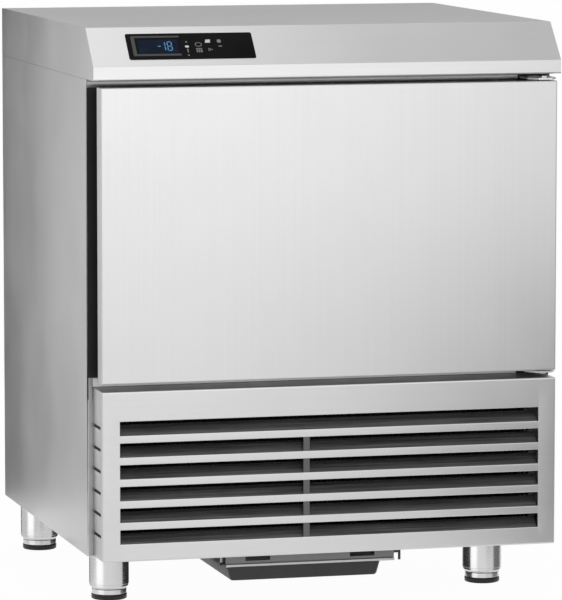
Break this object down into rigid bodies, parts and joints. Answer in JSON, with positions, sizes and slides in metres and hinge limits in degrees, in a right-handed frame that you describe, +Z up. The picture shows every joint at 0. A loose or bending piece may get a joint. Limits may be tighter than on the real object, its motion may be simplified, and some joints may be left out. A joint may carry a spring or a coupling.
{
  "type": "blast chiller",
  "caption": "Under-counter stainless blast chiller with one insulated door, sloped control fascia, louvred front panel, round legs and slide-out drip tray.",
  "frame": {"origin": "on the floor under the middle of the overall box", "axes": "+X to the hinge side (right when facing the door), +Y to the back, +Z up; the door faces -Y"},
  "size_m": [0.75, 0.74, 0.914],
  "materials": {
    "stainless_steel": "fine brushed",
    "zinc_coated_sheet": "dull zinc",
    "black_plastic": "satin black",
    "grey_plastic": "satin grey",
    "seal_rubber": "matt",
    "foam_core": "rigid foam",
    "black_glass": "gloss black",
    "coil_fins": "bare fins",
    "copper_tube": "bare copper",
    "black_enamel": "black enamel"
  },
  "bodies": {
    "cabinet": {"hood_cover": "stainless_steel", "display_lens": "black_glass", "display_module": "black_plastic", "control_board_box": "grey_plastic", "side_panel_left": "stainless_steel", "side_panel_right": "stainless_steel", "back_panel": "zinc_coated_sheet", "rear_vent_panel": "zinc_coated_sheet", "power_inlet_gland": "black_plastic", "base_chassis": "zinc_coated_sheet", "compartment_post_front_left": "zinc_coated_sheet", "compartment_post_front_right": "zinc_coated_sheet", "compartment_post_rear_left": "zinc_coated_sheet", "compartment_post_rear_right": "zinc_coated_sheet", "door_frame": "black_plastic", "chamber_insulation": "foam_core", "chamber_liner": "stainless_steel", "drain_tube": "grey_plastic", "tray_rack_left": "stainless_steel", "tray_rack_right": "stainless_steel", "evaporator_fan_panel": "stainless_steel", "evaporator_fan_motor": "black_enamel", "evaporator_coil": "coil_fins", "condenser_coil": "coil_fins", "condenser_fan_shroud": "zinc_coated_sheet", "condenser_fan_motor": "black_enamel", "compressor_shell": "black_enamel", "compressor_feet_plate": "black_enamel", "electrical_box": "grey_plastic", "liquid_receiver": "black_enamel", "discharge_pipe": "copper_tube", "liquid_pipe": "copper_tube", "suction_pipe": "copper_tube", "liquid_feed_pipe": "copper_tube", "front_grille_panel": "stainless_steel", "grille_tie_strip": "stainless_steel", "leg_sleeve_front_left": "stainless_steel", "leg_sleeve_front_right": "stainless_steel", "leg_sleeve_rear_left": "stainless_steel", "leg_sleeve_rear_right": "stainless_steel", "hinge_bracket_top": "stainless_steel", "hinge_bracket_bottom": "stainless_steel", "drip_tray_runner_left": "black_enamel", "drip_tray_runner_right": "black_enamel"},
    "door": {"door_outer_pan": "stainless_steel", "door_core": "foam_core", "door_inner_pan": "stainless_steel", "door_gasket": "seal_rubber", "door_grip_profile": "black_plastic", "door_hinge_profile": "black_plastic", "door_bush_top": "black_plastic", "door_bush_bottom": "black_plastic"},
    "condenser_fan": {"condenser_fan_blade": "black_plastic"},
    "evaporator_fan": {"evaporator_fan_blade": "black_plastic"},
    "tray_carrier": {"drip_tray": "black_plastic", "drip_tray_front_rail": "zinc_coated_sheet"},
    "levelling_foot_front_left": {"foot_front_left": "black_plastic"},
    "levelling_foot_front_right": {"foot_front_right": "black_plastic"},
    "levelling_foot_rear_left": {"foot_rear_left": "black_plastic"},
    "levelling_foot_rear_right": {"foot_rear_right": "black_plastic"}
  },
  "joints": [
    {"name": "door_hinge", "type": "hinge", "parent": "cabinet", "child": "door", "pos_m": [0.347, -0.354, 0.5965], "axis": [0, 0, 1], "range_deg": [0, 110]},
    {"name": "drip_tray_slide", "type": "slide", "parent": "cabinet", "child": "tray_carrier", "axis": [0, -1, 0], "range_m": [0, 0.27]},
    {"name": "condenser_fan_spin", "type": "hinge", "parent": "cabinet", "child": "condenser_fan", "pos_m": [-0.135, -0.1957, 0.20965], "axis": [0, -1, 0], "continuous": true},
    {"name": "evaporator_fan_spin", "type": "hinge", "parent": "cabinet", "child": "evaporator_fan", "pos_m": [0, 0.149, 0.597], "axis": [0, -1, 0], "continuous": true},
    {"name": "foot_level_front_left", "type": "slide", "parent": "cabinet", "child": "levelling_foot_front_left", "axis": [0, 0, -1], "range_m": [0, 0.025]},
    {"name": "foot_level_front_right", "type": "slide", "parent": "cabinet", "child": "levelling_foot_front_right", "axis": [0, 0, -1], "range_m": [0, 0.025]},
    {"name": "foot_level_rear_left", "type": "slide", "parent": "cabinet", "child": "levelling_foot_rear_left", "axis": [0, 0, -1], "range_m": [0, 0.025]},
    {"name": "foot_level_rear_right", "type": "slide", "parent": "cabinet", "child": "levelling_foot_rear_right", "axis": [0, 0, -1], "range_m": [0, 0.025]}
  ]
}
